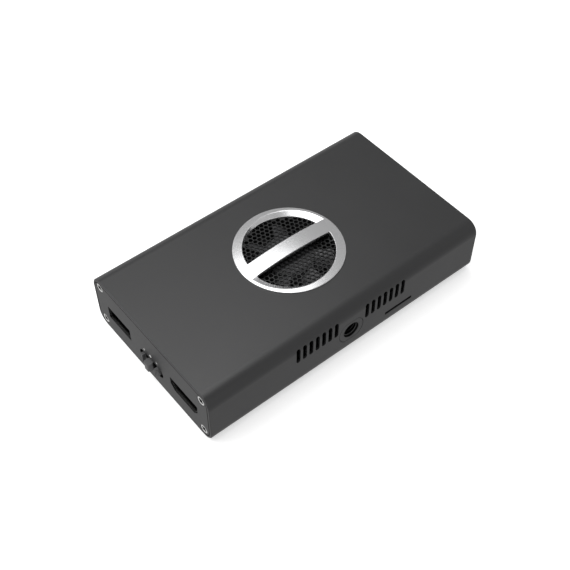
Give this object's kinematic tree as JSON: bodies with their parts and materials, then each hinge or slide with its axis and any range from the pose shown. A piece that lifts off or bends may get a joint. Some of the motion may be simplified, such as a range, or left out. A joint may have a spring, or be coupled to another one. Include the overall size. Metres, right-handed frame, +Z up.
{
  "type": "network video decoder",
  "caption": "Small fan-cooled network video decoder in a flat rounded aluminium case, with a menu lever, video, data, network and power sockets, side vents and a tripod thread.",
  "frame": {"origin": "centre of the flat bottom face", "axes": "+X across the width towards the side with the tripod thread, +Y along the length from the menu lever end to the network socket end, +Z up"},
  "size_m": [0.0662, 0.1192, 0.0252],
  "materials": {
    "anodised_case": "bead blasted dark grey anodised aluminium",
    "satin_bezel": "satin turned aluminium",
    "black_grille": "punched sheet, black coat",
    "plated_screw": "nickel plated steel",
    "insert_metal": "anodised turned bush",
    "black_plastic": "moulded black plastic",
    "grey_plastic": "moulded grey plastic",
    "white_plastic": "moulded white plastic",
    "circuit_board": "glass epoxy with green solder mask",
    "chip_plastic": "moulded epoxy",
    "thermal_silicone": "soft silicone",
    "sink_aluminium": "milled aluminium",
    "socket_steel": "drawn nickel plated sheet",
    "contact_gold": "gold plated contacts",
    "shaft_steel": "ground steel",
    "bearing_bronze": "sintered bronze",
    "magnet_rubber": "bonded magnet",
    "coil_copper": "enamelled copper on a stator",
    "clear_guide": "clear moulded plastic",
    "led_white": "light source",
    "can_aluminium": "capacitor can"
  },
  "bodies": {
    "housing": {"housing_tube": "anodised_case", "front_plate": "anodised_case", "rear_plate": "anodised_case", "front_screws": "plated_screw", "rear_screws": "plated_screw", "bezel_ring": "satin_bezel", "grille_mesh": "black_grille", "tripod_insert": "insert_metal", "main_board": "circuit_board", "fan_frame": "black_plastic", "fan_bearing": "bearing_bronze", "fan_stator": "coil_copper", "fan_screws": "plated_screw", "board_screws": "plated_screw", "heat_sink": "sink_aluminium", "thermal_pad": "thermal_silicone", "video_processor": "chip_plastic", "memory_chips": "chip_plastic", "support_chips": "chip_plastic", "power_coils": "chip_plastic", "capacitors": "can_aluminium", "usb_shell": "socket_steel", "usb_insulator": "black_plastic", "usb_contacts": "contact_gold", "hdmi_shell": "socket_steel", "hdmi_insulator": "black_plastic", "hdmi_contacts": "contact_gold", "menu_switch_case": "black_plastic", "menu_dome": "shaft_steel", "card_socket": "socket_steel", "network_shell": "socket_steel", "network_insulator": "black_plastic", "network_contacts": "contact_gold", "power_shell": "socket_steel", "power_insulator": "white_plastic", "power_contacts": "contact_gold", "light_guides": "clear_guide", "status_leds": "led_white", "reset_switch_case": "black_plastic"},
    "menu_slide": {"menu_carriage": "black_plastic", "menu_pin": "shaft_steel"},
    "menu_tilt_lever": {"menu_lever": "grey_plastic"},
    "fan_wheel": {"fan_rotor": "black_plastic", "fan_magnet": "magnet_rubber", "fan_shaft": "shaft_steel"},
    "reset_key": {"reset_button": "grey_plastic"}
  },
  "joints": [
    {"name": "menu_push", "type": "slide", "parent": "housing", "child": "menu_slide", "axis": [0, 1, 0], "range_m": [0, 0.0006], "stiffness_N_per_m": 1200, "springref_m": -0.0004},
    {"name": "menu_tilt", "type": "hinge", "parent": "menu_slide", "child": "menu_tilt_lever", "pos_m": [0, -0.04857, 0.008], "axis": [0, 0, 1], "range_deg": [-6, 6], "stiffness_Nm_per_rad": 0.05},
    {"name": "fan_spin", "type": "hinge", "parent": "housing", "child": "fan_wheel", "pos_m": [0, 0, 0.018], "axis": [0, 0, 1], "continuous": true},
    {"name": "reset_press", "type": "slide", "parent": "housing", "child": "reset_key", "axis": [0, -1, 0], "range_m": [0, 0.0003], "stiffness_N_per_m": 2500, "springref_m": -0.0002}
  ]
}
